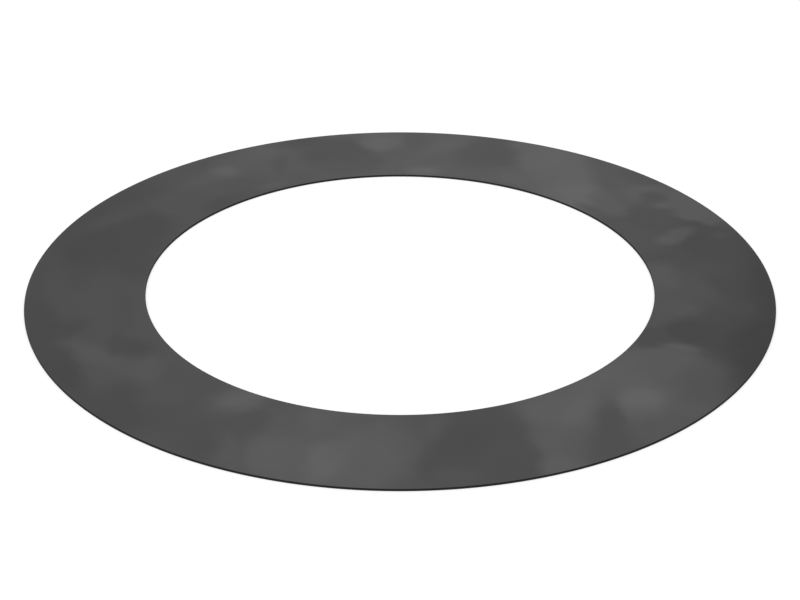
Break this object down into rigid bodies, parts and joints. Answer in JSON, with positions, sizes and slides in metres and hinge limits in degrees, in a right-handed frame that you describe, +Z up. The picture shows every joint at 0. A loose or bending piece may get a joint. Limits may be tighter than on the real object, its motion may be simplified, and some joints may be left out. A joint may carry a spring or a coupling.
{
  "type": "steel shim",
  "caption": "Flat thin steel ring with a large central bore and lightly broken edges, laid between two faces to set a small axial gap.",
  "frame": {"origin": "on the ring's axis, in the plane of its lower face, on which it rests", "axes": "+Z up along the ring's axis, from the lower face to the upper face; X and Y lie in the lower face, in any direction, because the ring is round"},
  "size_m": [0.066, 0.066, 0.0002],
  "materials": {
    "strip_steel": "dark grey cold-rolled steel, satin, faintly clouded"
  },
  "bodies": {
    "root": {"shim": "strip_steel"}
  },
  "joints": []
}
